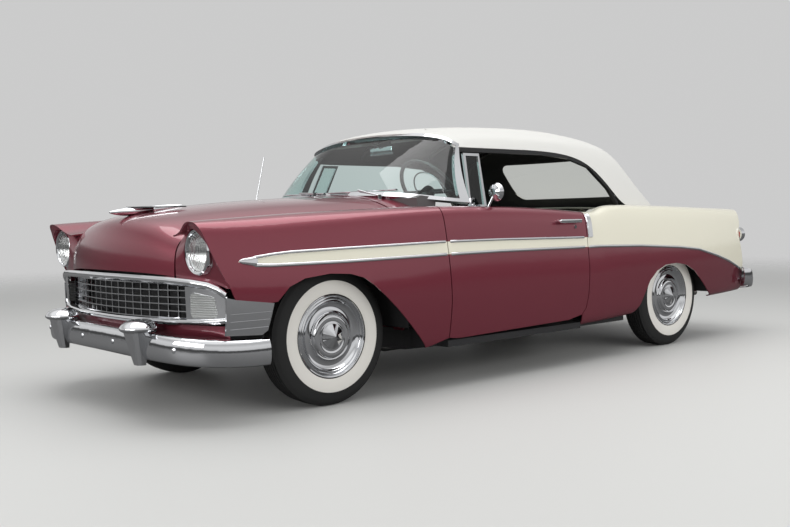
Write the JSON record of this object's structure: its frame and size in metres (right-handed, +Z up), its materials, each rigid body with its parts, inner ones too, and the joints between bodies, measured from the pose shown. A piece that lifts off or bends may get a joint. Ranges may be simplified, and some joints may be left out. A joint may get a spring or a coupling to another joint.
{
  "type": "two-door convertible car",
  "caption": "Two-tone convertible car of the 1950s with its fabric top up, on four whitewall wheels, with doors, hood and trunk lid that open.",
  "frame": {"origin": "centre of the bounding box on the ground plane", "axes": "+X the car's left side, -Y its front, +Z up"},
  "size_m": [1.8796, 5.0171, 1.4986],
  "materials": {
    "rose_paint": "gloss metallic",
    "ivory_paint": "gloss",
    "bright_metal": "mirror",
    "clear_glass": "clear",
    "red_lens": "gloss",
    "black_steel": "satin black",
    "grey_pipe": "satin",
    "floor_paint": "satin",
    "dash_paint": "gloss",
    "black_plastic": "gloss",
    "seat_cover": "satin",
    "top_fabric": "matt woven",
    "tyre_rubber": "matt with a white side band"
  },
  "bodies": {
    "car_body": {"antenna": "bright_metal", "chassis_frame": "black_steel", "cowl_panel": "rose_paint", "dashboard": "dash_paint", "door_posts": "floor_paint", "drive_shaft": "black_steel", "engine_block": "black_steel", "exhaust": "grey_pipe", "floor_pan": "floor_paint", "front_bumper": "bright_metal", "front_fender_left": "rose_paint", "front_fender_right": "rose_paint", "front_seat": "seat_cover", "front_suspension": "black_steel", "front_valance": "rose_paint", "fuel_tank": "black_steel", "grille": "bright_metal", "grille_surround": "bright_metal", "headlamp_lenses": "clear_glass", "headlamp_rims": "bright_metal", "leaf_springs": "black_steel", "parking_lamps": "clear_glass", "quarter_panel_left": "ivory_paint", "quarter_panel_right": "ivory_paint", "radiator": "black_steel", "rear_axle": "black_steel", "rear_bumper": "bright_metal", "rear_deck": "ivory_paint", "rear_seat": "seat_cover", "rear_window": "clear_glass", "soft_top": "top_fabric", "tail_lamp_lenses": "red_lens", "tail_lamp_rims": "bright_metal", "tail_panel": "rose_paint", "top_frame": "black_steel", "wheel_housings": "black_steel", "windshield_frame": "bright_metal", "windshield_glass": "clear_glass"},
    "door_left": {"door_left": "rose_paint", "vent_frame_left": "bright_metal", "vent_glass_left": "clear_glass", "door_mirror": "bright_metal"},
    "door_right": {"door_right": "rose_paint", "vent_frame_right": "bright_metal", "vent_glass_right": "clear_glass"},
    "hood": {"hood": "rose_paint", "hood_ornament": "bright_metal"},
    "trunk_lid": {"trunk_lid": "ivory_paint"},
    "steering_wheel": {"steering_wheel": "black_plastic"},
    "knuckle_left": {"knuckle_left": "black_steel"},
    "knuckle_right": {"knuckle_right": "black_steel"},
    "wheel_front_left": {"tyre_front_left": "tyre_rubber", "wheel_front_left": "bright_metal"},
    "wheel_front_right": {"tyre_front_right": "tyre_rubber", "wheel_front_right": "bright_metal"},
    "wheel_rear_left": {"tyre_rear_left": "tyre_rubber", "wheel_rear_left": "bright_metal"},
    "wheel_rear_right": {"tyre_rear_right": "tyre_rubber", "wheel_rear_right": "bright_metal"}
  },
  "joints": [
    {"name": "steering", "type": "hinge", "parent": "car_body", "child": "steering_wheel", "pos_m": [0.3701, -0.4879, 1.0774], "axis": [0, 0.8304, 0.5572], "range_deg": [-600, 600]},
    {"name": "steer_left", "type": "hinge", "parent": "car_body", "child": "knuckle_left", "pos_m": [0.646, -1.5745, 0.345], "axis": [0, 0, 1], "range_deg": [-30, 30]},
    {"name": "steer_right", "type": "hinge", "parent": "car_body", "child": "knuckle_right", "pos_m": [-0.646, -1.5745, 0.345], "axis": [0, 0, 1], "range_deg": [-30, 30]},
    {"name": "wheel_front_left_spin", "type": "hinge", "parent": "knuckle_left", "child": "wheel_front_left", "pos_m": [0.7365, -1.5745, 0.345], "axis": [1, 0, 0], "continuous": true},
    {"name": "wheel_front_right_spin", "type": "hinge", "parent": "knuckle_right", "child": "wheel_front_right", "pos_m": [-0.7365, -1.5745, 0.345], "axis": [1, 0, 0], "continuous": true},
    {"name": "wheel_rear_left_spin", "type": "hinge", "parent": "car_body", "child": "wheel_rear_left", "pos_m": [0.747, 1.3465, 0.345], "axis": [1, 0, 0], "continuous": true},
    {"name": "wheel_rear_right_spin", "type": "hinge", "parent": "car_body", "child": "wheel_rear_right", "pos_m": [-0.747, 1.3465, 0.345], "axis": [1, 0, 0], "continuous": true},
    {"name": "door_left_swing", "type": "hinge", "parent": "car_body", "child": "door_left", "pos_m": [0.93, -0.8603, 0.6], "axis": [0, 0, -1], "range_deg": [0, 65]},
    {"name": "door_right_swing", "type": "hinge", "parent": "car_body", "child": "door_right", "pos_m": [-0.93, -0.8603, 0.6], "axis": [0, 0, 1], "range_deg": [0, 65]},
    {"name": "hood_lift", "type": "hinge", "parent": "car_body", "child": "hood", "pos_m": [0, -1.0254, 1.0633], "axis": [-1, 0, 0], "range_deg": [0, 50]},
    {"name": "trunk_lift", "type": "hinge", "parent": "car_body", "child": "trunk_lid", "pos_m": [0, 1.4955, 0.9741], "axis": [1, 0, 0], "range_deg": [0, 70]}
  ],
  "couplings": [
    {"joint": "steer_left", "follows": "steering", "ratio": 0.05},
    {"joint": "steer_right", "follows": "steering", "ratio": 0.05}
  ]
}
